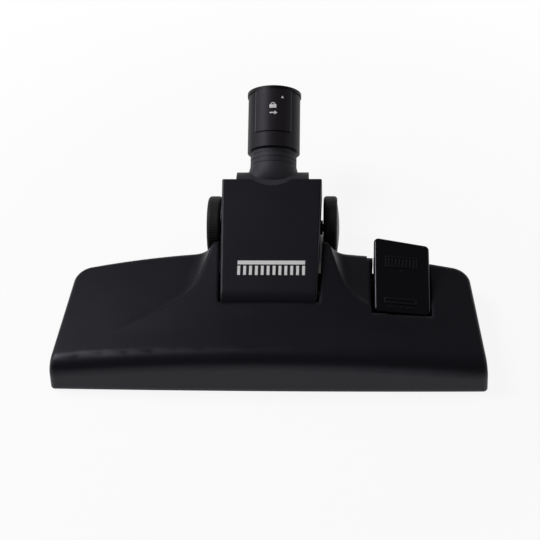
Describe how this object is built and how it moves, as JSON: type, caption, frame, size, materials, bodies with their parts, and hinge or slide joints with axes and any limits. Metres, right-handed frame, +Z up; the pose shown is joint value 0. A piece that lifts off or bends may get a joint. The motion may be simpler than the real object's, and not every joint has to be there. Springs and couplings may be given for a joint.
{
  "type": "vacuum cleaner floor brush head",
  "caption": "Low, wide vacuum floor head with a humped black shell, a hinged link on wheels, a swivelling neck with a tube socket, and a rocker pedal that drops the bristles.",
  "frame": {"origin": "on the floor under the head, at the middle of the width, where the plane of the sole meets the middle plane just ahead of the suction mouth", "axes": "+X to the right seen from the tube, along the width; +Y back from the nose towards the tube; +Z up"},
  "size_m": [0.2976, 0.227, 0.0946],
  "materials": {
    "shell": "black moulded plastic, fine satin grain",
    "cover": "black moulded plastic, satin",
    "sole": "dark grey moulded plastic, polished by wear",
    "inner": "dark grey moulded plastic",
    "neck": "mid grey moulded plastic, matte",
    "collar": "black moulded plastic, glossy",
    "pedal": "black moulded plastic, glossy top",
    "hub": "black moulded plastic",
    "soft": "black soft rubber",
    "bristle": "black nylon tufts",
    "felt": "grey felt",
    "lint": "dark red pile strip",
    "steel": "bright zinc-plated steel"
  },
  "bodies": {
    "head": {"upper_housing": "shell", "sole_plate": "sole", "sole_screws": "steel", "front_thread_lifter": "lint", "rear_thread_lifter": "lint", "left_trunnion_cap": "inner", "right_trunnion_cap": "inner", "cap_screws": "steel", "drum_seal": "felt", "pedal_pin": "steel", "pedal_leaf": "steel"},
    "pedal": {"pedal": "pedal"},
    "brush": {"brush_carriage": "inner", "front_bristles": "bristle", "rear_bristles": "bristle"},
    "link": {"link_frame": "inner", "link_cover": "cover", "link_screws": "steel", "left_wheel_axle": "steel", "right_wheel_axle": "steel"},
    "left_wheel": {"left_wheel_hub": "hub", "left_wheel_tyre": "soft", "left_wheel_cap": "hub"},
    "right_wheel": {"right_wheel_hub": "hub", "right_wheel_tyre": "soft", "right_wheel_cap": "hub"},
    "neck": {"neck_elbow": "neck", "retaining_ring": "steel", "seal_ring": "soft"},
    "swivel": {"swivel_tube": "neck"},
    "collar": {"lock_collar": "collar"}
  },
  "joints": [
    {"name": "pedal_rock", "type": "hinge", "parent": "head", "child": "pedal", "pos_m": [0.092, 0.016, 0.0194], "axis": [-1, 0, 0], "range_deg": [0, 16]},
    {"name": "brush_drop", "type": "slide", "parent": "head", "child": "brush", "axis": [0, 0, -1], "range_m": [0, 0.0071]},
    {"name": "link_tilt", "type": "hinge", "parent": "head", "child": "link", "pos_m": [0, 0.015, 0.0212], "axis": [1, 0, 0], "range_deg": [-5, 28]},
    {"name": "left_wheel_roll", "type": "hinge", "parent": "link", "child": "left_wheel", "pos_m": [-0.042, 0.082, 0.023], "axis": [1, 0, 0], "continuous": true},
    {"name": "right_wheel_roll", "type": "hinge", "parent": "link", "child": "right_wheel", "pos_m": [0.042, 0.082, 0.023], "axis": [1, 0, 0], "continuous": true},
    {"name": "neck_tilt", "type": "hinge", "parent": "link", "child": "neck", "pos_m": [0, 0.09766, 0.04035], "axis": [1, 0, 0], "range_deg": [-20, 12]},
    {"name": "neck_swivel", "type": "hinge", "parent": "neck", "child": "swivel", "pos_m": [0, 0.09766, 0.04035], "axis": [0, 0.8829, 0.4695], "continuous": true},
    {"name": "lock_twist", "type": "hinge", "parent": "swivel", "child": "collar", "pos_m": [0, 0.09766, 0.04035], "axis": [0, 0.8829, 0.4695], "range_deg": [0, 25]}
  ],
  "couplings": [
    {"joint": "brush_drop", "follows": "pedal_rock", "m_per_rad": 0.02524}
  ]
}
